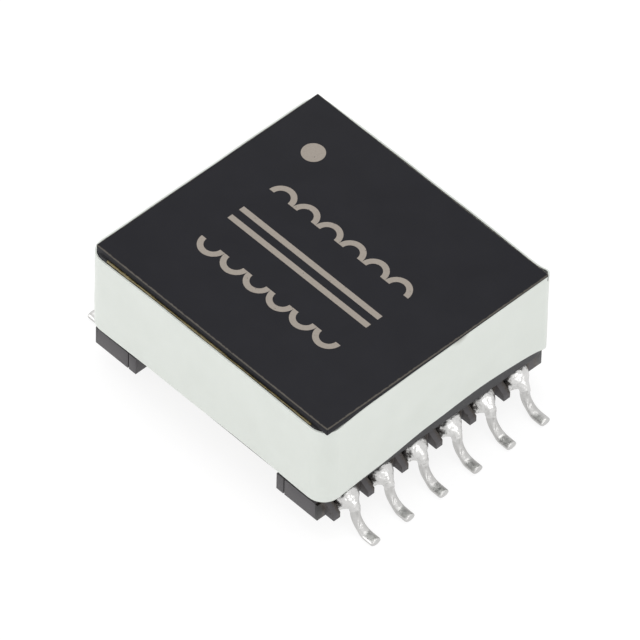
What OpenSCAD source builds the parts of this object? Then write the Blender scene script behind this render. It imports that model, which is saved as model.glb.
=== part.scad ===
// Flat surface-mount transformer: two flat ferrite halves lie round a horizontal coil former
// that carries six equal windings. Tape binds the halves, a thin plate is glued on top, and
// twelve formed pins leave the former's two rails.
// X runs from rail to rail, Y along the rails and Z up from the soles of the pins.

/* [Core] */
// Length of one core half, from its ground face to its back
core_half_l = 10.65; // [10:0.05:12]
// Width across both outer legs
core_w = 19.6; // [18.6:0.1:21]
// Height of the core
core_h = 6.7; // [6.2:0.05:7.6]
// Clearance between the rails and the core, which the former carries by its centre post
core_clear = 0.25; // [0.1:0.05:0.35]
// Thickness of each outer leg
core_leg = 2.3; // [1.8:0.1:2.7]
// Thickness of the back wall behind the coil
core_back = 2.4; // [2:0.1:2.7]
// Radius of the core's four upright corners
core_corner_r = 1.15; // [0.6:0.05:1.8]
// Width of the centre post
post_w = 8.7; // [7.5:0.1:9.3]
// Height of the centre post
post_h = 3.6; // [3:0.1:4]
// Radius along the post's edges
post_edge_r = 0.5; // [0.2:0.05:0.8]
// How far the post sits above the middle of the core
post_rise = 0.1; // [0:0.01:0.3]

/* [Tape round the core] */
// Thickness of the wound tape
tape_t = 0.12; // [0.06:0.01:0.3]
// Height of the tape's lower edge above the core's underside
tape_lift = 0.3; // [0.1:0.05:1.2]
// Clearance between the tape's upper edge and the cover plate
tape_top_gap = 0.05; // [0.02:0.01:0.4]
// Slack between the core and the tape
tape_gap = 0.02; // [0.01:0.01:0.1]

/* [Cover] */
// Length of the cover plate along X
cover_l = 21.0; // [19:0.1:22]
// Width of the cover plate along Y
cover_w = 19.1; // [17.5:0.1:21]
// Thickness of the cover plate
cover_t = 0.6; // [0.4:0.05:1]
// Radius of the cover plate's corners
cover_corner_r = 0.15; // [0.05:0.05:0.5]
// How far off centre the plate was glued, along X
cover_shift_x = 0.3; // [-0.5:0.05:0.5]
// How far off centre the plate was glued, along Y
cover_shift_y = -0.15; // [-0.5:0.05:0.5]
// Thickness of the glue under the plate
glue_t = 0.15; // [0.12:0.01:0.3]
// Distance from the core's outside to the edge of the glue
glue_inset = 0.35; // [0.2:0.05:0.8]

/* [Coil former] */
// Wall of the coil tube
tube_wall = 0.45; // [0.3:0.05:0.5]
// Clearance between the post and the tube's bore
bore_gap = 0.1; // [0.05:0.01:0.15]
// Thickness of each flange
flange_t = 0.7; // [0.5:0.05:0.9]
// Clearance between the flanges and the core
flange_gap = 0.15; // [0.05:0.01:0.2]
// Distance between the outer faces of the two rails
rail_span = 20.3; // [19.6:0.1:21]
// Width of each rail along X
rail_w = 3.7; // [3.2:0.05:3.8]
// Length of each rail along Y
rail_l = 19.5; // [18.8:0.1:21]
// Height of each rail
rail_h = 1.4; // [1.3:0.05:1.8]
// Standoff of the rails above the soles of the pins
rail_standoff = 1.7; // [1.3:0.05:2.2]
// Distance from a rail's inner edge to the parting groove in its ends
groove_from_edge = 0.68; // [0.4:0.02:1.2]
// Width and depth of the parting groove
groove_w = 0.1; // [0.05:0.01:0.2]
// How far the wire posts stand out of the rail
post_reach = 0.75; // [0.4:0.05:0.9]
// Width of each wire post
wire_post_w = 0.55; // [0.35:0.05:0.65]
// Height of each wire post at the rail's face
wire_post_h = 1.0; // [0.8:0.05:1.2]
// Height of each wire post's upright outer face, below its slope
wire_post_face_h = 0.5; // [0.3:0.05:0.7]
// Distance from a pin's centre to the far side of its wire post
wire_post_offset = 1.64; // [1.64:0.02:1.7]
// Depth of the wire channels in the rail's underside
channel_h = 0.45; // [0.4:0.05:0.5]
// Width of the wire channels
channel_w = 0.5; // [0.4:0.02:0.54]
// Distance from a pin's centre to the middle of its wire channel
channel_offset = 0.82; // [0.8:0.01:0.9]

/* [Windings] */
// Diameter of the insulated wire
wire_d = 0.31; // [0.2:0.01:0.32]
// Distance from one wire to the next along the coil
wire_pitch = 0.35; // [0.34:0.005:0.36]
// Full turns of each winding before its last pass
turns = 4; // [2:1:4]
// Clearance of the wire from the tube and from the wrap
wire_gap = 0.02; // [0.01:0.01:0.05]
// Radius of the tube's long edges
tube_edge_r = 0.6; // [0.4:0.05:0.9]
// Drop from the coil to the level where the wire ends fan out
tail_drop = 0.6; // [0.4:0.05:0.7]
// Distance of the fan's end from the rail's inner edge
tail_clear = 0.25; // [0.2:0.01:0.4]
// Length cut off each side of a corner where a wire end turns
bend_cut = 0.25; // [0.15:0.01:0.28]
// Thickness of the insulating wrap over the windings
wrap_t = 0.12; // [0.06:0.01:0.15]
// Length of the insulating wrap along the coil
wrap_l = 7.4; // [4:0.2:7.8]

/* [Pins] */
// Distance from one pin to the next
pin_pitch = 2.95; // [2.8:0.05:3]
// Diameter of the pin wire
pin_d = 0.75; // [0.6:0.05:0.8]
// Distance between the tips of opposite pins
pin_span = 26.2; // [25.6:0.1:28]
// Centre-line radius of both bends
pin_bend_r = 0.8; // [0.7:0.05:0.85]
// Straight length of pin between the solder side of the rail and the first bend
pin_stub = 0.4; // [0.1:0.05:0.6]
// Length of pin held inside the rail
pin_hold = 1.8; // [1.2:0.1:2.6]
// Thickness of the flattened foot
foot_t = 0.5; // [0.4:0.05:0.7]
// Width of the flattened foot
foot_w = 0.85; // [0.8:0.05:1.1]
// Clearance of the pin in its hole
pin_gap = 0.01; // [0.01:0.01:0.03]
// Radius of the solder at the rail's face
solder_r = 0.95; // [0.8:0.05:1]
// Length of the solder along the pin
solder_l = 0.9; // [0.7:0.05:1.1]
// Thickness of the solder at its thin end
solder_skin = 0.08; // [0.04:0.01:0.15]
// Clearance of the solder from the core's underside
solder_gap = 0.05; // [0.02:0.01:0.1]

/* [Hidden] */
$fn = 48;

// The construction is fixed by its six windings, with one pin at each end of each
WINDINGS = 6;
// Overshoot of a cut past the face that it opens
CUT = 1;
// Side of the square that halves the core's outline
PAST = 40;
// Sides of the wire's section, and steps in each quarter bend of the coil
WIRE_SIDES = 6;
ARC_STEPS = 3;

// Heights, from the soles upwards
rail_top = rail_standoff + rail_h;
core_z = rail_top + core_clear;
core_top = core_z + core_h;
cover_z = core_top + glue_t;
post_z = core_z + core_h / 2 + post_rise;
pin_z = rail_standoff + rail_h / 2;

// Core window and coil tube
window_l = core_half_l - core_back;
window_w = core_w - 2 * core_leg;
tube_w = post_w + 2 * (bore_gap + tube_wall);
tube_h = post_h + 2 * (bore_gap + tube_wall);
flange_x = window_l - flange_gap - flange_t;
rail_x = rail_span / 2;
rail_inner_x = rail_x - rail_w;

// Centre line of one turn, seen along the coil's axis
turn_w = tube_w / 2 + wire_gap + wire_d / 2;
turn_h = tube_h / 2 + wire_gap + wire_d / 2;
turn_r = tube_edge_r + wire_gap + wire_d / 2;
turn_side_w = turn_w - turn_r;
turn_side_h = turn_h - turn_r;

// Advance of a winding over one turn, and the coil's first wire
turn_step = WINDINGS * wire_pitch;
coil_l = (turns + 1) * turn_step + (WINDINGS - 1) * wire_pitch;

// Height of the wire ends in their channels
channel_wire_z = rail_standoff + channel_h - wire_gap - wire_d / 2;

// Y of pin n (1 to 6) and its wire channel
function pin_y(n) = (n - (WINDINGS + 1) / 2) * pin_pitch;
function channel_y(n) = pin_y(n) - channel_offset;

// Rectangle about the origin with round corners
module round_rect(w, h, r) {
    square([w - 2 * r, h], center = true);
    square([w, h - 2 * r], center = true);
    for (sx = [-1, 1], sy = [-1, 1])
        translate([sx * (w / 2 - r), sy * (h / 2 - r)]) circle(r);
}

// Bar of a round-cornered section, lying along X from x0 to x1, centred on Y and on height z
module bar_x(x0, x1, w, h, r, z) {
    translate([x0, 0, z]) rotate([90, 0, 90])
        linear_extrude(x1 - x0) round_rect(w, h, r);
}

// Copies of the children for the right side, or mirrored for the left side
module on_side(side) {
    if (side > 0) children();
    else mirror([1, 0, 0]) children();
}

// ---- ferrite core ----

// One half: a back wall and two outer legs round the window, with the flat centre post
module core_half() {
    difference() {
        translate([0, 0, core_z]) linear_extrude(core_h) intersection() {
            round_rect(2 * core_half_l, core_w, core_corner_r);
            translate([0, -PAST / 2]) square([PAST, PAST]);
        }
        translate([-CUT, -window_w / 2, core_z - CUT])
            cube([window_l + CUT, window_w, core_h + 2 * CUT]);
    }
    bar_x(0, window_l, post_w, post_h, post_edge_r, post_z);
}

module core_half_right() {
    color("#26262a") core_half();
}

module core_half_left() {
    color("#2e2e33") mirror([1, 0, 0]) core_half();
}

// Tape wound round the outside of both halves, a little above their underside
module core_tape() {
    inner_l = 2 * (core_half_l + tape_gap);
    inner_w = core_w + 2 * tape_gap;
    inner_r = core_corner_r + tape_gap;
    low_z = core_z + tape_lift;
    tape_w = cover_z - tape_top_gap - low_z;
    color("#dde3dd") translate([0, 0, low_z]) difference() {
        linear_extrude(tape_w)
            round_rect(inner_l + 2 * tape_t, inner_w + 2 * tape_t, inner_r + tape_t);
        translate([0, 0, -CUT]) linear_extrude(tape_w + 2 * CUT)
            round_rect(inner_l, inner_w, inner_r);
    }
}

// ---- cover ----

// Glue on the top faces of the legs and back walls, open over the coil
module cover_glue() {
    color("#8a7d4d") translate([0, 0, core_top]) linear_extrude(glue_t) difference() {
        round_rect(2 * (core_half_l - glue_inset), core_w - 2 * glue_inset, core_corner_r);
        square([2 * (window_l + glue_inset), window_w + 2 * glue_inset], center = true);
    }
}

module cover_plate() {
    color("#2b2b2f") translate([cover_shift_x, cover_shift_y, cover_z])
        linear_extrude(cover_t) round_rect(cover_l, cover_w, cover_corner_r);
}

// ---- coil former ----

// Flange across the core window, standing on its rail
module flange() {
    flange_h = core_top - flange_gap - rail_top;
    translate([flange_x, -window_w / 2 + flange_gap, rail_top])
        cube([flange_t, window_w - 2 * flange_gap, flange_h]);
}

// Small wedge-topped post beside a pin, which guides the wire's end to it
module wire_post(n) {
    translate([rail_x, pin_y(n) - wire_post_offset + wire_post_w, rail_standoff])
        rotate([90, 0, 0]) linear_extrude(wire_post_w) polygon([
            [-CUT, 0],
            [post_reach, 0],
            [post_reach, wire_post_face_h],
            [0, wire_post_h],
            [-CUT, wire_post_h]
        ]);
}

// Rail with its wire posts, wire channels, pin holes and the parting groove in its ends
module rail() {
    difference() {
        union() {
            translate([rail_inner_x, -rail_l / 2, rail_standoff]) cube([rail_w, rail_l, rail_h]);
            for (n = [1 : WINDINGS]) wire_post(n);
        }
        for (n = [1 : WINDINGS]) {
            translate([rail_inner_x - CUT, channel_y(n) - channel_w / 2, rail_standoff - CUT])
                cube([rail_w + CUT + post_reach, channel_w, channel_h + CUT]);
            translate([rail_x - pin_hold - pin_gap, pin_y(n), pin_z]) rotate([0, 90, 0])
                cylinder(h = pin_hold + pin_gap + CUT, r = pin_d / 2 + pin_gap);
        }
        for (end = [-1, 1])
            translate([rail_inner_x + groove_from_edge, end * rail_l / 2, pin_z])
                cube([groove_w, 2 * groove_w, rail_h + 2 * CUT], center = true);
    }
}

module bobbin() {
    color("#4a484c") difference() {
        union() {
            bar_x(-flange_x, flange_x, tube_w, tube_h, tube_edge_r, post_z);
            for (side = [-1, 1]) on_side(side) {
                flange();
                rail();
            }
        }
        bar_x(-window_l, window_l, post_w + 2 * bore_gap, post_h + 2 * bore_gap,
            post_edge_r, post_z);
    }
}

// ---- windings ----

function unit(v) = v / norm(v);

// Three points that round off the corner p on the way from a to b
function rounded(p, a, b) = [
    p + bend_cut * unit(a - p),
    p + bend_cut / 4 * (unit(a - p) + unit(b - p)),
    p + bend_cut * unit(b - p)
];

// Points of a quarter bend at x, about the centre (y, z), starting at angle a from +Y
function corner_arc(x, y, z, a) = [
    for (k = [0 : ARC_STEPS])
        [x, y + turn_r * cos(a + 90 * k / ARC_STEPS), z + turn_r * sin(a + 90 * k / ARC_STEPS)]
];

// One turn at x, from the lower right corner up, over the top and down to the lower left
function turn_over(x) = concat(
    corner_arc(x, turn_side_w, post_z - turn_side_h, -90),
    corner_arc(x, turn_side_w, post_z + turn_side_h, 0),
    corner_arc(x, -turn_side_w, post_z + turn_side_h, 90),
    corner_arc(x, -turn_side_w, post_z - turn_side_h, 180)
);

// End of winding n on one side, from the rail's face along its channel, up to the coil's
// underside at start and round into the coil's own pass towards next
function wire_end(n, side, start, next) =
    let (
        drop = [start.x, start.y, start.z - tail_drop],
        mouth = [side * (rail_inner_x - tail_clear), channel_y(n), channel_wire_z],
        exit = [side * rail_x, channel_y(n), channel_wire_z]
    )
    concat([exit], rounded(mouth, exit, drop), rounded(drop, mouth, start),
        rounded(start, drop, next));

function reversed(v) = [for (i = [len(v) - 1 : -1 : 0]) v[i]];

// Route of winding n: it advances along the underside of the coil and is square elsewhere
function winding_route(n) =
    let (
        first_x = -coil_l / 2 + (n - 1) * wire_pitch,
        last_x = first_x + (turns + 1) * turn_step,
        low_z = post_z - turn_h,
        first = [first_x, -turn_side_w, low_z],
        after_first = [first_x + turn_step, turn_side_w, low_z],
        last = [last_x, turn_side_w, low_z],
        before_last = [last_x - turn_step, -turn_side_w, low_z]
    )
    concat(
        wire_end(n, -1, first, after_first),
        [for (t = [1 : turns]) each turn_over(first_x + t * turn_step)],
        reversed(wire_end(n, 1, last, before_last))
    );

// Round bar of diameter d along a route, as one closed skin of rings
module swept_wire(route, d) {
    last = len(route) - 1;
    heading = [for (i = [0 : last]) unit(route[min(i + 1, last)] - route[max(i - 1, 0)])];
    level = [
        for (i = 0, v = [0, 0, 1]; i <= last;
            i = i + 1, v = i > last ? v : unit(v - (v * heading[i]) * heading[i])) v
    ];
    rings = [
        for (i = [0 : last], k = [0 : WIRE_SIDES - 1])
            let (a = 360 * k / WIRE_SIDES)
            route[i] + d / 2 * (cos(a) * level[i] + sin(a) * cross(heading[i], level[i]))
    ];
    sides = [
        for (i = [0 : last - 1], k = [0 : WIRE_SIDES - 1])
            let (
                here = i * WIRE_SIDES + k,
                beside = i * WIRE_SIDES + (k + 1) % WIRE_SIDES
            )
            each [
                [here, here + WIRE_SIDES, beside],
                [beside, here + WIRE_SIDES, beside + WIRE_SIDES]
            ]
    ];
    ends = [
        [for (k = [0 : WIRE_SIDES - 1]) k],
        [for (k = [WIRE_SIDES - 1 : -1 : 0]) last * WIRE_SIDES + k]
    ];
    polyhedron(rings, concat(sides, ends));
}

module winding(n) {
    color("#b5652b") swept_wire(winding_route(n), wire_d);
}

// Insulating tape over the middle of the windings
module winding_wrap() {
    inner_w = 2 * (turn_w + wire_d / 2 + wire_gap);
    inner_h = 2 * (turn_h + wire_d / 2 + wire_gap);
    inner_r = turn_r + wire_d / 2 + wire_gap;
    color("#d9b860") difference() {
        bar_x(-wrap_l / 2, wrap_l / 2, inner_w + 2 * wrap_t, inner_h + 2 * wrap_t,
            inner_r + wrap_t, post_z);
        bar_x(-wrap_l, wrap_l, inner_w, inner_h, inner_r, post_z);
    }
}

// ---- pins ----

// Quarter bend of pin wire in the XZ plane about centre c, starting at angle a from +X
module pin_bend(c, a, d) {
    translate(c) rotate([90, 0, 0]) rotate([0, 0, a])
        rotate_extrude(angle = 90, $fn = 96) translate([pin_bend_r, 0]) circle(d = d);
}

// Round part of a gull-wing pin on the right side, of diameter d about the pin's centre line:
// out of the rail, down, and out again at the level of the soles
module pin_wire(d) {
    bend_x = rail_x + pin_stub;
    drop_x = bend_x + pin_bend_r;
    low_z = pin_d / 2 + pin_bend_r;
    high_z = pin_z - pin_bend_r;
    translate([rail_x - pin_hold, 0, pin_z]) rotate([0, 90, 0])
        cylinder(h = pin_hold + pin_stub, d = d);
    pin_bend([bend_x, 0, high_z], 0, d);
    translate([drop_x, 0, low_z]) cylinder(h = high_z - low_z, d = d);
    pin_bend([drop_x + pin_bend_r, 0, low_z], 180, d);
}

// Whole pin, with its flattened foot
module pin() {
    foot_x = rail_x + pin_stub + 2 * pin_bend_r;
    pin_wire(pin_d);
    translate([foot_x, 0, foot_t / 2]) rotate([90, 0, 90])
        linear_extrude(pin_span / 2 - foot_x) {
            square([foot_w - foot_t, foot_t], center = true);
            for (side = [-1, 1]) translate([side * (foot_w - foot_t) / 2, 0]) circle(d = foot_t);
        }
}

// Pins 1 to 6 stand on the left rail and 7 to 12 on the right rail, both counted along +Y
module lead(number) {
    side = number > WINDINGS ? 1 : -1;
    n = number > WINDINGS ? number - WINDINGS : number;
    color("#c9c9c7") on_side(side) translate([0, pin_y(n), 0]) pin();
}

// Hollow-sided cone of solder round a pin's root, flush with the rail's faces above and below
module solder_cone() {
    thin_r = pin_d / 2 + solder_skin;
    waist_r = (solder_r + 2 * thin_r) / 3;
    intersection() {
        translate([rail_x, 0, pin_z]) rotate([0, 90, 0]) rotate_extrude() polygon([
            [0, 0],
            [solder_r, 0],
            [solder_r - solder_skin, solder_skin],
            [waist_r, solder_l / 2],
            [thin_r, solder_l],
            [0, solder_l]
        ]);
        translate([rail_x - CUT, -solder_r, rail_standoff])
            cube([CUT + solder_l, 2 * solder_r, rail_h - solder_gap]);
    }
}

// Solder round the six pin roots of one side
module solder_joints(side) {
    color("#dcdcda") on_side(side) for (n = [1 : WINDINGS]) translate([0, pin_y(n), 0])
        difference() {
            solder_cone();
            pin_wire(pin_d + 2 * pin_gap);
        }
}

bobbin();
core_half_left();
core_half_right();
core_tape();
cover_glue();
cover_plate();
winding(1);  // winding_1
winding(2);  // winding_2
winding(3);  // winding_3
winding(4);  // winding_4
winding(5);  // winding_5
winding(6);  // winding_6
winding_wrap();
lead(1);  // lead_01
lead(2);  // lead_02
lead(3);  // lead_03
lead(4);  // lead_04
lead(5);  // lead_05
lead(6);  // lead_06
lead(7);  // lead_07
lead(8);  // lead_08
lead(9);  // lead_09
lead(10);  // lead_10
lead(11);  // lead_11
lead(12);  // lead_12
solder_joints(-1);  // solder_joints_left
solder_joints(1);  // solder_joints_right
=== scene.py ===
# Flat surface-mount transformer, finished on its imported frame.
# The sections follow the order in which the part is put together.
import math

import bpy
from mathutils import Matrix, Vector


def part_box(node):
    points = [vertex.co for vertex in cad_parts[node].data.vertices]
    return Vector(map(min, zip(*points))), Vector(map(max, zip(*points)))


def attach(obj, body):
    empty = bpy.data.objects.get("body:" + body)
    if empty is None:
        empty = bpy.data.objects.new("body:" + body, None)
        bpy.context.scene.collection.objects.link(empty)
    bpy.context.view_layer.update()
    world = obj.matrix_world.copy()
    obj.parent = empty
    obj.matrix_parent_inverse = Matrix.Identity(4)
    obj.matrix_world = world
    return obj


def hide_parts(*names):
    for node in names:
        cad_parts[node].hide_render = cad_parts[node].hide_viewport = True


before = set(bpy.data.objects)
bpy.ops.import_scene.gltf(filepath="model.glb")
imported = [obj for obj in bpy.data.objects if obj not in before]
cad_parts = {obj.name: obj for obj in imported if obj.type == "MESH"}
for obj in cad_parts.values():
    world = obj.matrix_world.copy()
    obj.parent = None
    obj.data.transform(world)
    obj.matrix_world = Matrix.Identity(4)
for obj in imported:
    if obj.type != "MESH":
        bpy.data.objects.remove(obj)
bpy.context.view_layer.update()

# ---- Studio ----
# A white table under soft boxes, and a long lens that looks down on the corner where
# the taped side meets the row of pins 7 to 12.
scene = bpy.context.scene
scene.view_settings.view_transform = "Standard"

AZIMUTH = math.radians(45.392)
ELEVATION = math.radians(48.346)
ROLL = math.radians(1.507)
CAMERA_DISTANCE = 0.792
FIELD_WIDTH = 0.04045
AIM_RIGHT = 0.00013
AIM_UP = 0.00318
SENSOR = 36.0
ROOM_LIGHT = 0.66
TABLE_SIZE = 0.6
TABLE_DROP = 0.00002
TABLE_GLOW = 0.84

toward = Vector((
    math.sin(AZIMUTH) * math.cos(ELEVATION),
    -math.cos(AZIMUTH) * math.cos(ELEVATION),
    math.sin(ELEVATION),
))
level_right = Vector((math.cos(AZIMUTH), math.sin(AZIMUTH), 0))
level_up = toward.cross(level_right)
right = level_right * math.cos(ROLL) + level_up * math.sin(ROLL)
up = level_up * math.cos(ROLL) - level_right * math.sin(ROLL)

camera_place = toward * CAMERA_DISTANCE
back = (camera_place - right * AIM_RIGHT - up * AIM_UP).normalized()
right = (right - back * right.dot(back)).normalized()
camera_data = bpy.data.cameras.new("camera")
camera_data.sensor_width = SENSOR
camera_data.lens = SENSOR * CAMERA_DISTANCE / FIELD_WIDTH
camera_data.clip_end = 10
camera = bpy.data.objects.new("camera", camera_data)
camera.matrix_world = Matrix((right, back.cross(right), back)).transposed().to_4x4()
camera.location = camera_place
scene.collection.objects.link(camera)
scene.camera = camera


def wire_up(tree, node_type, inputs=None, **settings):
    """Adds a node, sets its properties and feeds its inputs with values or other sockets."""
    node = tree.nodes.new(node_type)
    for name, value in settings.items():
        setattr(node, name, value)
    for key, value in (inputs or {}).items():
        if isinstance(value, bpy.types.NodeSocket):
            tree.links.new(value, node.inputs[key])
        else:
            node.inputs[key].default_value = value
    return node


def seen_straight(tree):
    """1 for rays from the camera, a reflection or through glass, and 0 for the rest."""
    path = wire_up(tree, "ShaderNodeLightPath")
    mirrored = wire_up(tree, "ShaderNodeMath", {
        0: path.outputs["Is Camera Ray"],
        1: path.outputs["Is Glossy Ray"],
    }, operation="MAXIMUM")
    return wire_up(tree, "ShaderNodeMath", {
        0: mirrored.outputs[0],
        1: path.outputs["Is Transmission Ray"],
    }, operation="MAXIMUM").outputs[0]


world = bpy.data.worlds.new("studio")
scene.world = world
world.use_nodes = True
tree = world.node_tree
tree.nodes.clear()
room = wire_up(tree, "ShaderNodeBackground", {"Color": (1, 1, 1, 1), "Strength": ROOM_LIGHT})
white = wire_up(tree, "ShaderNodeBackground", {"Color": (1, 1, 1, 1), "Strength": 1.0})
mixed = wire_up(tree, "ShaderNodeMixShader", {
    0: seen_straight(tree), 1: room.outputs[0], 2: white.outputs[0],
})
wire_up(tree, "ShaderNodeOutputWorld", {"Surface": mixed.outputs[0]})

bpy.ops.mesh.primitive_plane_add(size=TABLE_SIZE, location=(0, 0, -TABLE_DROP))
table = bpy.context.object
table.name = "table"
paper = bpy.data.materials.new("table_white")
paper.use_nodes = True
tree = paper.node_tree
tree.nodes.clear()
lit = wire_up(tree, "ShaderNodeBsdfDiffuse", {"Color": (0.22, 0.22, 0.22, 1)})
glow = wire_up(tree, "ShaderNodeEmission", {"Color": (1, 1, 1, 1), "Strength": TABLE_GLOW})
seen = wire_up(tree, "ShaderNodeAddShader", {0: lit.outputs[0], 1: glow.outputs[0]})
bounce = wire_up(tree, "ShaderNodeBsdfDiffuse", {"Color": (0.8, 0.8, 0.8, 1)})
mixed = wire_up(tree, "ShaderNodeMixShader", {
    0: seen_straight(tree), 1: bounce.outputs[0], 2: seen.outputs[0],
})
wire_up(tree, "ShaderNodeOutputMaterial", {"Surface": mixed.outputs[0]})
table.data.materials.append(paper)

# name, place and width in metres, power in watts
SOFT_BOXES = (
    ("box_over", (-0.05, 0.08, 0.42), 0.36, 0.56),
    ("box_left", (-0.26, -0.36, 0.20), 0.30, 0.6),
    ("box_right", (0.42, -0.06, 0.18), 0.26, 0.42),
)
for name, place, width, power in SOFT_BOXES:
    lamp = bpy.data.lights.new(name, "AREA")
    lamp.size = width
    lamp.energy = power
    box = bpy.data.objects.new(name, lamp)
    box.location = place
    box.rotation_euler = Vector(place).to_track_quat("Z", "Y").to_euler()
    scene.collection.objects.link(box)

# ---- Coil former ----
# One moulding of dark mineral-filled plastic: a tube with two flanges and two rails. Heat and
# flux have stained the rails' outer faces amber round the pins. The near-black ring at the foot
# of each solder cone is burnt flux plus painted contact shade.
MM = 0.001
ROOT = "root"
WELD = 0.002
FLAT_ANGLE = math.radians(1)


def clear_selection():
    for thing in bpy.context.selected_objects:
        thing.select_set(False)


def keep(piece, name, material, slot, *nodes):
    """Brings a piece modelled in millimetres to metres and puts it on the frame."""
    piece.name = name
    piece.data.name = name
    piece.data.transform(Matrix.Scale(MM, 4))
    piece.data.materials.clear()
    piece.data.materials.append(material)
    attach(piece, ROOT)
    if nodes:
        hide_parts(*nodes)
    piece.select_set(False)


def copy_of_solid(node):
    """Welded copy of a CAD solid, in millimetres, selected and active."""
    clear_selection()
    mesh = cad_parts[node].data.copy()
    mesh.transform(Matrix.Scale(1 / MM, 4))
    piece = bpy.data.objects.new(node, mesh)
    scene.collection.objects.link(piece)
    piece.select_set(True)
    bpy.context.view_layer.objects.active = piece
    bpy.ops.object.mode_set(mode="EDIT")
    bpy.ops.mesh.select_all(action="SELECT")
    bpy.ops.mesh.remove_doubles(threshold=WELD)
    bpy.ops.mesh.dissolve_limited(angle_limit=FLAT_ANGLE)
    bpy.ops.object.mode_set(mode="OBJECT")
    return piece


def finish_with(piece, kind, **settings):
    """Adds one modifier and applies it."""
    clear_selection()
    piece.select_set(True)
    bpy.context.view_layer.objects.active = piece
    modifier = piece.modifiers.new(kind.lower(), kind)
    for name, value in settings.items():
        setattr(modifier, name, value)
    bpy.ops.object.modifier_apply(modifier=modifier.name)


SHARP_CORNER = math.radians(35)


def soften(piece, radius, segments=2):
    """Rounds the sharp corners of a piece."""
    finish_with(piece, "BEVEL", width=radius, segments=segments, limit_method="ANGLE",
                angle_limit=SHARP_CORNER, miter_outer="MITER_ARC")
    bpy.ops.object.shade_smooth_by_angle(angle=math.radians(30))


def new_material(name, color, roughness, metallic=0.0):
    """A material with its Principled shader, ready for its own nodes."""
    material = bpy.data.materials.new(name)
    material.use_nodes = True
    tree = material.node_tree
    shader = tree.nodes["Principled BSDF"]
    shader.inputs["Base Color"].default_value = (*color, 1)
    shader.inputs["Roughness"].default_value = roughness
    shader.inputs["Metallic"].default_value = metallic
    return material, tree, shader


def new_group(name, inputs, outputs):
    """A node group with named float inputs and outputs."""
    group = bpy.data.node_groups.new(name, "ShaderNodeTree")
    for label, value in inputs.items():
        socket = group.interface.new_socket(label, in_out="INPUT", socket_type="NodeSocketFloat")
        socket.default_value = value
    for label in outputs:
        group.interface.new_socket(label, in_out="OUTPUT", socket_type="NodeSocketFloat")
    return group


# Grain of a moulded or fired surface: fine bumps, slow shading and small pits
grain = new_group("grain", {"Bumps per mm": 6.0, "Pits per mm": 1.2}, ("Height", "Shade", "Pits"))
ends = wire_up(grain, "NodeGroupInput")
place = wire_up(grain, "ShaderNodeTexCoord").outputs["Object"]
in_mm = wire_up(grain, "ShaderNodeVectorMath", {0: place, 3: 1 / MM}, operation="SCALE").outputs[0]
fine = wire_up(grain, "ShaderNodeTexNoise", {
    "Vector": in_mm, "Scale": ends.outputs["Bumps per mm"], "Detail": 4.0, "Roughness": 0.6,
})
slow = wire_up(grain, "ShaderNodeTexNoise", {"Vector": in_mm, "Scale": 0.45, "Detail": 3.0})
cells = wire_up(grain, "ShaderNodeTexVoronoi", {
    "Vector": in_mm, "Scale": ends.outputs["Pits per mm"], "Randomness": 1.0,
})
pit = wire_up(grain, "ShaderNodeMapRange", {
    "Value": cells.outputs["Distance"], "From Min": 0.06, "From Max": 0.16,
    "To Min": 1.0, "To Max": 0.0,
}, interpolation_type="SMOOTHSTEP")
rare = wire_up(grain, "ShaderNodeSeparateColor", {"Color": cells.outputs["Color"]})
picked = wire_up(grain, "ShaderNodeMath", {0: rare.outputs[0], 1: 0.72}, operation="GREATER_THAN")
pits = wire_up(grain, "ShaderNodeMath", {0: pit.outputs[0], 1: picked.outputs[0]},
               operation="MULTIPLY")
wire_up(grain, "NodeGroupOutput", {
    "Height": fine.outputs[0], "Shade": slow.outputs[0], "Pits": pits.outputs[0],
})


def add_grain(tree, bumps, pits):
    """The grain group, with its bumps and pits per millimetre."""
    node = wire_up(tree, "ShaderNodeGroup")
    node.node_tree = grain
    node.inputs["Bumps per mm"].default_value = bumps
    node.inputs["Pits per mm"].default_value = pits
    return node


def blend(tree, amount, first, second):
    """Mix of two colours, each a tuple or a socket."""
    node = wire_up(tree, "ShaderNodeMix", data_type="RGBA")
    for index, value in ((0, amount), (6, first), (7, second)):
        if isinstance(value, bpy.types.NodeSocket):
            tree.links.new(value, node.inputs[index])
        elif isinstance(value, tuple):
            node.inputs[index].default_value = (*value, 1)
        else:
            node.inputs[index].default_value = value
    return node.outputs[2]


def bumpy(tree, shader, height, depth):
    """Bump of a given depth in millimetres."""
    bump = wire_up(tree, "ShaderNodeBump", {"Height": height, "Distance": depth * MM})
    tree.links.new(bump.outputs[0], shader.inputs["Normal"])


def math_node(tree, operation, first, second=0.0):
    """Result of one sum, each side a number or a socket."""
    return wire_up(tree, "ShaderNodeMath", {0: first, 1: second}, operation=operation).outputs[0]


def ramp(tree, value, low, high, start=0.0, end=1.0):
    """Goes smoothly from start to end as the value goes from low to high."""
    return wire_up(tree, "ShaderNodeMapRange", {
        "Value": value, "From Min": low, "From Max": high, "To Min": start, "To Max": end,
    }, interpolation_type="SMOOTHSTEP").outputs[0]


PIN_Z = 2.4
PIN_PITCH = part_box("lead_08")[0].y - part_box("lead_07")[0].y
RAIL_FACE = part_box("solder_joints_right")[0].x
RAIL_SKIN = 0.2 * MM
STAIN_AND_SHADE_RAGGED = 0.9 * MM
# reach of each mark round a pin, the amber flux stain and the soot ring with its painted shade:
# where it begins, and where it is full
AMBER_STAIN = (0.95 * MM, 0.62 * MM)
SOOT_AND_SHADE_STAIN = (0.8 * MM, 0.5 * MM)

former_plastic, tree, shader = new_material("former_plastic", (0.085, 0.08, 0.085), 0.5)
surface = add_grain(tree, 14.0, 1.6)
color = blend(tree, surface.outputs["Shade"], (0.062, 0.058, 0.062), (0.098, 0.093, 0.097))
color = blend(tree, surface.outputs["Pits"], color, (0.02, 0.018, 0.018))
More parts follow.
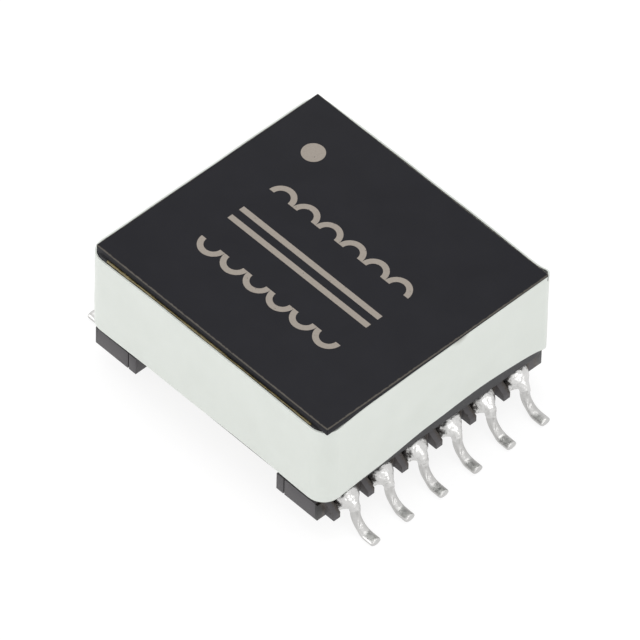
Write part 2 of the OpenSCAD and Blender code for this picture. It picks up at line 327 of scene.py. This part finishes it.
# distance from the nearest pin, on the rails' outer faces
spot = wire_up(tree, "ShaderNodeTexCoord").outputs["Object"]
axes = wire_up(tree, "ShaderNodeSeparateXYZ", {0: spot})
along = wire_up(tree, "ShaderNodeMath", {
    0: math_node(tree, "ADD", axes.outputs[1], -0.5 * PIN_PITCH),
    1: -0.5 * PIN_PITCH, 2: 0.5 * PIN_PITCH,
}, operation="WRAP").outputs[0]
above = math_node(tree, "SUBTRACT", axes.outputs[2], PIN_Z * MM)
away = wire_up(tree, "ShaderNodeCombineXYZ", {0: along, 1: above})
reach = wire_up(tree, "ShaderNodeVectorMath", {0: away.outputs[0]}, operation="LENGTH").outputs[1]
ragged = math_node(tree, "MULTIPLY", surface.outputs["Height"], STAIN_AND_SHADE_RAGGED)
reach = math_node(tree, "SUBTRACT", reach, ragged)
outside = math_node(tree, "GREATER_THAN",
                    math_node(tree, "ABSOLUTE", axes.outputs[0]), RAIL_FACE - RAIL_SKIN)
amber = math_node(tree, "MULTIPLY", ramp(tree, reach, *AMBER_STAIN), outside)
# mask of the soot and painted contact shade ring where each solder cone meets the rail
soot_and_shade = math_node(tree, "MULTIPLY", ramp(tree, reach, *SOOT_AND_SHADE_STAIN), outside)
color = blend(tree, amber, color, (0.05, 0.034, 0.02))
# near-black colour of that ring, part burnt flux and part painted shade
color = blend(tree, soot_and_shade, color, (0.009, 0.008, 0.008))
tree.links.new(color, shader.inputs["Base Color"])
gloss = math_node(tree, "SUBTRACT", 0.55, math_node(tree, "MULTIPLY", amber, 0.25))
tree.links.new(gloss, shader.inputs["Roughness"])
bumpy(tree, shader, surface.outputs["Height"], 0.012)

former = copy_of_solid("bobbin")
soften(former, 0.05)
keep(former, "coil_former", former_plastic, "former_plastic", "bobbin")

# ---- Windings and wrap ----
# Six strands of enamelled copper laid side by side on the former, under two turns of
# clear yellow film. Their ends fan out below the core to the channels in the rails.
WINDINGS = 6

enamel, tree, shader = new_material("enamelled_copper", (0.62, 0.2, 0.07), 0.3, 0.85)
surface = add_grain(tree, 5.0, 0.5)
color = blend(tree, surface.outputs["Shade"], (0.42, 0.12, 0.035), (0.7, 0.27, 0.1))
tree.links.new(color, shader.inputs["Base Color"])
shader.inputs["Coat Weight"].default_value = 0.6
shader.inputs["Coat Roughness"].default_value = 0.12
bumpy(tree, shader, surface.outputs["Height"], 0.01)
for number in range(1, WINDINGS + 1):
    node = f"winding_{number}"
    strand = copy_of_solid(node)
    finish_with(strand, "SUBSURF", levels=1, render_levels=1)
    bpy.ops.object.shade_smooth()
    keep(strand, f"strand_{number}", enamel, "enamelled_wire", node)

wrap_film, tree, shader = new_material("wrap_film", (0.62, 0.42, 0.1), 0.25)
surface = add_grain(tree, 2.0, 0.4)
color = blend(tree, surface.outputs["Shade"], (0.5, 0.3, 0.06), (0.72, 0.52, 0.16))
tree.links.new(color, shader.inputs["Base Color"])
bumpy(tree, shader, surface.outputs["Height"], 0.03)
wrap = copy_of_solid("winding_wrap")
soften(wrap, 0.03)
keep(wrap, "winding_film", wrap_film, "wrap_film", "winding_wrap")

# ---- Ferrite core ----
# Two pressed and fired ferrite halves, dull and near black with a few pale pits. They are
# pushed into the former from either side and held together by the tape.
ferrite, tree, shader = new_material("ferrite", (0.035, 0.035, 0.037), 0.6)
surface = add_grain(tree, 9.0, 0.9)
color = blend(tree, surface.outputs["Shade"], (0.022, 0.022, 0.025), (0.05, 0.05, 0.052))
color = blend(tree, surface.outputs["Pits"], color, (0.16, 0.16, 0.16))
tree.links.new(color, shader.inputs["Base Color"])
bumpy(tree, shader, surface.outputs["Height"], 0.02)
for side in ("left", "right"):
    half = copy_of_solid(f"core_half_{side}")
    soften(half, 0.08)
    keep(half, f"ferrite_{side}", ferrite, "ferrite", f"core_half_{side}")

# ---- Pins ----
# Round tinned wire pressed into the rails, bent down and out, and coined flat at the foot.
PIN_RADIUS = 0.34
PIN_SIDES = 16
PIN_START = 8.6
PIN_STUB_END = 10.5
KNEE_RADIUS = 0.6
ANKLE_RADIUS = 1.3
BEND_STEPS = 8
FOOT_STEPS = (0.15, 0.3, 0.19)
TIP_LENGTH = 0.06
TIP_TAPER = (1, 0.78, 0.7)
# each press of the foot: how far past the shin it starts, how it widens and flattens the wire
COINING = ((0.6, 1.1, 0.88), (0.9, 1.12, 0.85))
DENT_REACH = 0.17
DENT_RIM = 0.03
DENT_MOVE = (-0.03, 0, -0.04)

tin, tree, shader = new_material("tinned_wire", (0.6, 0.595, 0.585), 0.35, 1.0)
surface = add_grain(tree, 2.6, 1.1)
color = blend(tree, surface.outputs["Shade"], (0.46, 0.455, 0.445), (0.66, 0.655, 0.645))
color = blend(tree, surface.outputs["Pits"], color, (0.3, 0.29, 0.27))
tree.links.new(color, shader.inputs["Base Color"])
tree.links.new(ramp(tree, surface.outputs["Height"], 0.3, 0.7, 0.28, 0.45),
               shader.inputs["Roughness"])
bumpy(tree, shader, surface.outputs["Height"], 0.035)


def extrude(move):
    """Draws the selected end out by a move."""
    bpy.ops.mesh.extrude_region_move(TRANSFORM_OT_translate={"value": move})


def bend_pin(center, turn):
    """Bends the selected end of the wire on round a centre."""
    bpy.ops.mesh.spin(steps=BEND_STEPS, angle=math.radians(turn), center=center, axis=(0, 1, 0))


def pick(test, kind="VERT"):
    """In edit mode, selects only the points or faces that pass a test of their place."""
    bpy.ops.mesh.select_mode(type=kind)
    bpy.ops.mesh.select_all(action="DESELECT")
    bpy.ops.object.mode_set(mode="OBJECT")
    mesh = bpy.context.object.data
    if kind == "VERT":
        for point in mesh.vertices:
            point.select = test(point.co)
    else:
        for face in mesh.polygons:
            face.select = test(face)
    bpy.ops.object.mode_set(mode="EDIT")


def settle():
    """Puts the active piece's place, turn and size into its mesh."""
    bpy.ops.object.transform_apply(location=True, rotation=True, scale=True)


clear_selection()
bpy.ops.mesh.primitive_circle_add(
    vertices=PIN_SIDES, radius=PIN_RADIUS, fill_type="NGON",
    location=(PIN_START, 0, PIN_Z), rotation=(0, math.pi / 2, 0),
)
pin = bpy.context.object
settle()
bpy.ops.object.mode_set(mode="EDIT")
extrude((PIN_STUB_END - PIN_START, 0, 0))
knee_z = PIN_Z - KNEE_RADIUS
ankle_z = PIN_RADIUS + ANKLE_RADIUS
shin_x = PIN_STUB_END + KNEE_RADIUS
toe_x = shin_x + ANKLE_RADIUS
bend_pin((PIN_STUB_END, 0, knee_z), -90)
extrude((0, 0, ankle_z - knee_z))
bend_pin((toe_x, 0, ankle_z), 90)
for step in FOOT_STEPS:
    extrude((step, 0, 0))
extrude((TIP_LENGTH, 0, 0))
bpy.ops.transform.resize(value=TIP_TAPER, center_override=(0, 0, PIN_RADIUS))
# the press coins the foot from the heel outwards, in two steps
for past_shin, wide, flat in COINING:
    pick(lambda co: co.x > shin_x + past_shin and co.z < ankle_z)
    bpy.ops.transform.resize(value=(1, wide, flat), center_override=(0, 0, 0))
# the press leaves a dent where the flat begins
heel = Vector((shin_x + 0.62, -0.1, 0.85))
pick(lambda face: (face.center - heel).length < DENT_REACH, "FACE")
bpy.ops.mesh.inset(thickness=DENT_RIM)
bpy.ops.transform.translate(value=DENT_MOVE)
bpy.ops.mesh.select_all(action="SELECT")
bpy.ops.mesh.normals_make_consistent(inside=False)
bpy.ops.object.mode_set(mode="OBJECT")
finish_with(pin, "SUBSURF", levels=2, render_levels=2)
bpy.ops.object.shade_smooth()


def for_each_pin():
    """Number, side and place along Y of each pin, in millimetres."""
    for number in range(1, 13):
        side = 1 if number > 6 else -1
        yield number, side, ((number - 1) % 6 - 2.5) * PIN_PITCH / MM


def copy_to_pin(original, side, y):
    """Own copy of a piece modelled at y 0 on the right rail, moved to a pin of either rail."""
    mesh = original.data.copy()
    mesh.transform(Matrix.Diagonal((side, 1, 1, 1)))
    if side < 0:
        mesh.flip_normals()
    mesh.transform(Matrix.Translation((0, y, 0)))
    piece = bpy.data.objects.new(original.name, mesh)
    scene.collection.objects.link(piece)
    return piece


for number, side, y in for_each_pin():
    keep(copy_to_pin(pin, side, y), f"pin_{number:02d}", tin, "tinned_wire", f"lead_{number:02d}")
bpy.data.objects.remove(pin)

# ---- Solder joints ----
# Each wire's end is wound round its pin at the rail and dipped, so the solder stands as a
# ragged cone with the wraps showing through, and a wing to the side the wire comes from.
RAIL_X = RAIL_FACE / MM
solder_tin, tree, shader = new_material("solder", (0.66, 0.655, 0.645), 0.32, 1.0)
surface = add_grain(tree, 3.4, 0.8)
color = blend(tree, surface.outputs["Shade"], (0.56, 0.555, 0.545), (0.74, 0.735, 0.725))
tree.links.new(color, shader.inputs["Base Color"])
tree.links.new(ramp(tree, surface.outputs["Height"], 0.3, 0.7, 0.25, 0.42),
               shader.inputs["Roughness"])
bumpy(tree, shader, surface.outputs["Height"], 0.025)

# beads of solder down the pin: how far from the rail, how far up, radius
BEADS = (
    (0.08, 0.0, 0.88), (0.3, 0.0, 0.7), (0.5, -0.05, 0.56), (0.68, -0.14, 0.47),
    (0.82, -0.29, 0.41), (0.91, -0.48, 0.38), (0.94, -0.72, 0.36),
)
# turns of wire round the pin: how far from the rail, ring radius, wire radius
WRAPS = ((0.12, 0.76, 0.15), (0.4, 0.58, 0.15), (0.66, 0.42, 0.12))
WRAP_LEAN = 0.2
WRAP_SAG = 0.3
WING = (0.2, -0.66, -0.34)
WING_RADIUS = 0.36
VOXEL = 0.055
CUT_MARGIN = 0.03
CORE_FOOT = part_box("core_half_right")[0].z / MM


def join(pieces):
    """Makes one piece of several."""
    clear_selection()
    for piece in pieces:
        piece.select_set(True)
    bpy.context.view_layer.objects.active = pieces[0]
    bpy.ops.object.join()
    return bpy.context.object


clear_selection()
parts = []
for offset, drop, radius in BEADS:
    bpy.ops.mesh.primitive_uv_sphere_add(
        segments=24, ring_count=16, radius=radius, location=(RAIL_X + offset, 0, PIN_Z + drop),
    )
    parts.append(bpy.context.object)
for offset, ring, thick in WRAPS:
    bpy.ops.mesh.primitive_torus_add(
        major_radius=ring, minor_radius=thick, major_segments=32, minor_segments=12,
        location=(RAIL_X + offset, 0, PIN_Z - WRAP_SAG * offset),
        rotation=(0, math.pi / 2 + WRAP_LEAN, 0),
    )
    parts.append(bpy.context.object)
bpy.ops.mesh.primitive_uv_sphere_add(
    segments=24, ring_count=12, radius=WING_RADIUS,
    location=(RAIL_X + WING[0], WING[1], PIN_Z + WING[2]),
)
parts.append(bpy.context.object)
blob = join(parts)
settle()
finish_with(blob, "REMESH", mode="VOXEL", voxel_size=VOXEL)
finish_with(blob, "SMOOTH", iterations=6, factor=0.6)

lumps = bpy.data.textures.new("solder_lumps", "CLOUDS")
lumps.noise_scale = 0.42
for number, side, y in for_each_pin():
    joint = copy_to_pin(blob, side, y)
    finish_with(joint, "DISPLACE", texture=lumps, strength=0.13, mid_level=0.5,
                texture_coords="GLOBAL")
    bpy.ops.object.mode_set(mode="EDIT")
    bpy.ops.mesh.select_all(action="SELECT")
    bpy.ops.mesh.bisect(plane_co=(side * (RAIL_X - CUT_MARGIN), 0, 0), plane_no=(side, 0, 0),
                        use_fill=True, clear_inner=True)
    bpy.ops.mesh.select_all(action="SELECT")
    bpy.ops.mesh.bisect(plane_co=(0, 0, CORE_FOOT - CUT_MARGIN), plane_no=(0, 0, 1),
                        use_fill=True, clear_outer=True)
    bpy.ops.object.mode_set(mode="OBJECT")
    bpy.ops.object.shade_smooth_by_angle(angle=math.radians(50))
    node = "solder_joints_left" if side < 0 else "solder_joints_right"
    keep(joint, f"solder_{number:02d}", solder_tin, "solder", node)
bpy.data.objects.remove(blob)

# ---- Tape ----
# Pale polyester film wound tightly round both halves. Its upper edge laps up beside the
# cover plate over the pins, and the lower edge there has drawn up in a slow wave.
TAPE_X = 10.83
TAPE_Y = 9.95
TAPE_LOW = 3.6
TAPE_HIGH = 10.15
TAPE_THICKNESS = 0.11
# corner of the core in X and Y, and the radius the tape takes round it
CORNERS = ((1, -1, 1.3), (-1, -1, 1.25), (-1, 1, 1.25), (1, 1, 0.85))
CORNER_STEPS = 8
CORNER_REACH = 0.01
EDGE_TURN = 1.3
COLUMNS = 16
ROWS = 6

tape_film, tree, shader = new_material("core_tape", (0.76, 0.8, 0.75), 0.38)
surface = add_grain(tree, 3.0, 0.16)
color = blend(tree, surface.outputs["Shade"], (0.73, 0.765, 0.715), (0.79, 0.825, 0.78))
color = blend(tree, surface.outputs["Pits"], color, (0.4, 0.4, 0.36))
tree.links.new(color, shader.inputs["Base Color"])
bumpy(tree, shader, surface.outputs["Height"], 0.008)

clear_selection()
bpy.ops.mesh.primitive_cube_add(
    size=2, location=(0, 0, (TAPE_LOW + TAPE_HIGH) / 2),
    scale=(TAPE_X, TAPE_Y, (TAPE_HIGH - TAPE_LOW) / 2),
)
tape = bpy.context.object
settle()
bpy.ops.object.mode_set(mode="EDIT")
pick(lambda face: abs(face.normal.z) > 0.5, "FACE")
bpy.ops.mesh.delete(type="FACE")


def round_corner(x_side, y_side, radius):
    """Rounds one upright corner of the tape."""
    bpy.ops.mesh.select_mode(type="EDGE")
    bpy.ops.mesh.select_all(action="DESELECT")
    bpy.ops.object.mode_set(mode="OBJECT")
    mesh = bpy.context.object.data
    for edge in mesh.edges:
        ends = [mesh.vertices[index].co for index in edge.vertices]
        edge.select = all(co.x * x_side > TAPE_X - CORNER_REACH
                          and co.y * y_side > TAPE_Y - CORNER_REACH for co in ends)
    bpy.ops.object.mode_set(mode="EDIT")
    bpy.ops.mesh.bevel(offset=radius, offset_type="OFFSET", segments=CORNER_STEPS)


for x_side, y_side, radius in CORNERS:
    round_corner(x_side, y_side, radius)
for step in range(1, COLUMNS):
    share = 2 * step / COLUMNS - 1
    for normal, half in (((1, 0, 0), TAPE_X), ((0, 1, 0), TAPE_Y)):
        bpy.ops.mesh.select_all(action="SELECT")
        bpy.ops.mesh.bisect(plane_co=[share * half * n for n in normal], plane_no=normal)
for step in range(1, ROWS):
    bpy.ops.mesh.select_all(action="SELECT")
    height = TAPE_LOW + (TAPE_HIGH - TAPE_LOW) * step / ROWS
    bpy.ops.mesh.bisect(plane_co=(0, 0, height), plane_no=(0, 0, 1))
bpy.ops.object.mode_set(mode="OBJECT")


def between(stops, place):
    """Height at a place, eased between the stops on either side of it."""
    for (low, start), (high, end) in zip(stops, stops[1:]):
        if place <= high:
            share = max(0.0, (place - low) / (high - low))
            return start + (end - start) * share * share * (3 - 2 * share)
    return stops[-1][1]


# Heights of the upper and lower edge along the two long faces
UPPER_PIN_SIDE = ((-9.5, 10.08), (-6.2, 10.42), (-1.0, 10.53), (3.5, 10.62), (9.0, 10.66))
LOWER_PIN_SIDE = ((-9.5, 3.56), (-5.0, 3.86), (-0.7, 4.4), (3.6, 4.62), (8.0, 4.33), (9.6, 3.85))
UPPER_END = ((-9.5, 10.0), (-5.0, 10.13), (0.0, 10.14), (4.0, 10.18), (10.0, 10.08))
LOWER_END = ((-9.5, 3.52), (-5.0, 3.6), (0.0, 3.66), (4.2, 3.72), (9.5, 3.58))


def tape_edges(co):
    """Lower and upper edge of the tape beside a point of its surface."""
    toward_pins = max(0.0, min(1.0, (co.x - TAPE_X + EDGE_TURN) / EDGE_TURN))
    low = between(LOWER_END, co.x) * (1 - toward_pins) + between(LOWER_PIN_SIDE, co.y) * toward_pins
    high = between(UPPER_END, co.x) * (1 - toward_pins) + between(UPPER_PIN_SIDE, co.y) * toward_pins
    return low, high


for point in tape.data.vertices:
    low, high = tape_edges(point.co)
    share = (point.co.z - TAPE_LOW) / (TAPE_HIGH - TAPE_LOW)
    point.co.z = low + (high - low) * share
finish_with(tape, "SUBSURF", levels=2, render_levels=2)
slack = bpy.data.textures.new("tape_slack", "CLOUDS")
slack.noise_scale = 3.5
finish_with(tape, "DISPLACE", texture=slack, strength=0.05, mid_level=0.5, texture_coords="GLOBAL")
finish_with(tape, "SOLIDIFY", thickness=TAPE_THICKNESS, offset=-1)
bpy.ops.object.shade_smooth_by_angle(angle=math.radians(40))
keep(tape, "tape_band", tape_film, "core_tape", "core_tape")

# ---- Glue ----
# Cured amber adhesive between the core and the plate. Pressing the plate down has squeezed
# a thin uneven bead of it out of one side of the seam.
adhesive, tree, shader = new_material("adhesive", (0.1, 0.08, 0.03), 0.22)
surface = add_grain(tree, 3.0, 1.5)
color = blend(tree, surface.outputs["Height"], (0.015, 0.012, 0.006), (0.34, 0.27, 0.1))
tree.links.new(color, shader.inputs["Base Color"])
bumpy(tree, shader, surface.outputs["Height"], 0.05)
glue = copy_of_solid("cover_glue")
keep(glue, "glue_layer", adhesive, "glue", "cover_glue")

BEAD_START = -9.2
BEAD_LENGTH = 18.6
BEAD_RADIUS = 0.09
BEAD_SLICES = 90
BEAD_Y = -9.7
BEAD_Z = 10.08
clear_selection()
bpy.ops.mesh.primitive_cylinder_add(
    vertices=10, radius=BEAD_RADIUS, depth=BEAD_LENGTH,
    location=(BEAD_START + BEAD_LENGTH / 2, BEAD_Y, BEAD_Z), rotation=(0, math.pi / 2, 0),
)
bead = bpy.context.object
settle()
bpy.ops.object.mode_set(mode="EDIT")
for step in range(1, BEAD_SLICES):
    bpy.ops.mesh.select_all(action="SELECT")
    slice_x = BEAD_START + BEAD_LENGTH * step / BEAD_SLICES
    bpy.ops.mesh.bisect(plane_co=(slice_x, 0, 0), plane_no=(1, 0, 0))
bpy.ops.object.mode_set(mode="OBJECT")
ooze = bpy.data.textures.new("glue_ooze", "CLOUDS")
ooze.noise_scale = 0.6
finish_with(bead, "DISPLACE", texture=ooze, strength=0.14, mid_level=0.55, texture_coords="GLOBAL")
finish_with(bead, "SUBSURF", levels=1, render_levels=1)
bpy.ops.object.shade_smooth()
keep(bead, "glue_bead", adhesive, "glue")

# ---- Cover plate ----
# Thin matt black moulded plate, glued on top of the core as the face that a machine picks
# the part up by. Its upper rim is painted grey: partly rubbing from handling, and partly a
# painted highlight where the edge catches the light.
plate_low, plate_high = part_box("cover_plate")
plate_middle = (plate_low + plate_high) / 2 / MM
plate_half = (plate_high - plate_low) / 2 / MM
RUB_AND_HIGHLIGHT_RAGGED = 0.22 * MM
# the rubbed and painted-highlight line, and the depth below the face that it reaches: where each
# begins and is full
RUB_AND_HIGHLIGHT_EDGE = (-0.02 * MM, -0.09 * MM)
RUB_AND_HIGHLIGHT_DEPTH = (0.12 * MM, 0.03 * MM)

plate_black, tree, shader = new_material("cover_black", (0.012, 0.012, 0.015), 0.45)
shader.inputs["Specular IOR Level"].default_value = 0.12
surface = add_grain(tree, 22.0, 0.35)
spot = wire_up(tree, "ShaderNodeTexCoord").outputs["Object"]
axes = wire_up(tree, "ShaderNodeSeparateXYZ", {0: spot})
rims = []
for index in (0, 1):
    offset = math_node(tree, "SUBTRACT", axes.outputs[index], plate_middle[index] * MM)
    rims.append(math_node(tree, "SUBTRACT", plate_half[index] * MM,
                          math_node(tree, "ABSOLUTE", offset)))
rim = math_node(tree, "MINIMUM", rims[0], rims[1])
in_mm = wire_up(tree, "ShaderNodeVectorMath", {0: spot, 3: 1 / MM}, operation="SCALE").outputs[0]
chips = wire_up(tree, "ShaderNodeTexNoise", {
    "Vector": in_mm, "Scale": 2.6, "Detail": 6.0, "Roughness": 0.75,
}).outputs[0]
rub_and_highlight = math_node(tree, "SUBTRACT", rim, math_node(tree, "MULTIPLY", chips, RUB_AND_HIGHLIGHT_RAGGED))
near_top = ramp(tree, axes.outputs[2], *(plate_high.z - depth for depth in RUB_AND_HIGHLIGHT_DEPTH))
# mask of the grey rim: handling wear plus a painted highlight along the plate's top edge
worn_and_highlit = math_node(tree, "MULTIPLY", ramp(tree, rub_and_highlight, *RUB_AND_HIGHLIGHT_EDGE), near_top)
color = blend(tree, surface.outputs["Shade"], (0.008, 0.008, 0.011), (0.013, 0.013, 0.017))
# pale grey of the worn rim with its painted highlight
color = blend(tree, worn_and_highlit, color, (0.11, 0.1, 0.085))
tree.links.new(color, shader.inputs["Base Color"])
bumpy(tree, shader, surface.outputs["Height"], 0.006)

clear_selection()
bpy.ops.mesh.primitive_cube_add(size=2, location=plate_middle, scale=plate_half)
plate = bpy.context.object
settle()
soften(plate, 0.06, 3)
keep(plate, "plate", plate_black, "cover_black", "cover_plate")

# ---- Marking ----
# Taupe ink printed on the plate: a dot at pin 1, and a plain winding diagram of two rows of
# loops with two bars between them.
INK_Z = plate_high.z / MM
INK = 0.006
STROKE = 0.42
SLIVER = 0.001
LOOP_WELD = 0.01
DOT_RADIUS = 0.8
DOT_X = -6.68
DOT_Y = 5.68
BAR_LENGTH = 12.6
BAR_PLACES = (-0.9, -1.9)
LOOPS = 6
LOOP_RADIUS = 0.84
# each row's place along Y, and the turn of its loops
LOOP_ROWS = ((1.5, 180), (-4.3, -180))

ink, tree, shader = new_material("ink", (0.3, 0.26, 0.22), 0.6)
surface = add_grain(tree, 9.0, 3.0)
color = blend(tree, surface.outputs["Height"], (0.25, 0.215, 0.185), (0.36, 0.32, 0.275))
color = blend(tree, surface.outputs["Pits"], color, (0.1, 0.09, 0.08))
tree.links.new(color, shader.inputs["Base Color"])


def print_ink(piece, name):
    """Gives a flat outline the ink's thickness and puts it on the plate."""
    finish_with(piece, "SOLIDIFY", thickness=INK, offset=1)
    keep(piece, name, ink, None)


clear_selection()
bpy.ops.mesh.primitive_circle_add(vertices=64, radius=DOT_RADIUS, fill_type="NGON",
                                  location=(DOT_X, DOT_Y, INK_Z))
dot = bpy.context.object
settle()
print_ink(dot, "pin_1_dot")


def add_bar(y):
    """A straight printed bar along X."""
    bpy.ops.mesh.primitive_plane_add(size=1, location=(0, y, INK_Z))
    bar = bpy.context.object
    bar.scale = (BAR_LENGTH, STROKE, 1)
    settle()
    return bar


def add_loop(center_x, center_y, turn):
    """A printed half ring, spun from one short edge."""
    bpy.ops.mesh.primitive_plane_add(size=1, location=(center_x - LOOP_RADIUS, center_y, INK_Z))
    loop = bpy.context.object
    loop.scale = (STROKE, SLIVER, 1)
    settle()
    bpy.ops.object.mode_set(mode="EDIT")
    bpy.ops.mesh.select_all(action="SELECT")
    bpy.ops.mesh.remove_doubles(threshold=LOOP_WELD)
    bpy.ops.mesh.spin(steps=16, angle=math.radians(turn),
                      center=(center_x, center_y, INK_Z), axis=(0, 0, 1))
    bpy.ops.mesh.select_all(action="SELECT")
    bpy.ops.mesh.remove_doubles(threshold=LOOP_WELD)
    bpy.ops.mesh.normals_make_consistent(inside=False)
    bpy.ops.object.mode_set(mode="OBJECT")
    return loop


for row, (y, turn) in enumerate(LOOP_ROWS):
    loops = []
    for number in range(LOOPS):
        place_x = (number - (LOOPS - 1) / 2) * (2 * LOOP_RADIUS + STROKE)
        loops.append(add_loop(place_x, y, turn))
    print_ink(join(loops), f"printed_winding_{row + 1}")
for row, y in enumerate(BAR_PLACES):
    print_ink(add_bar(y), f"printed_bar_{row + 1}")
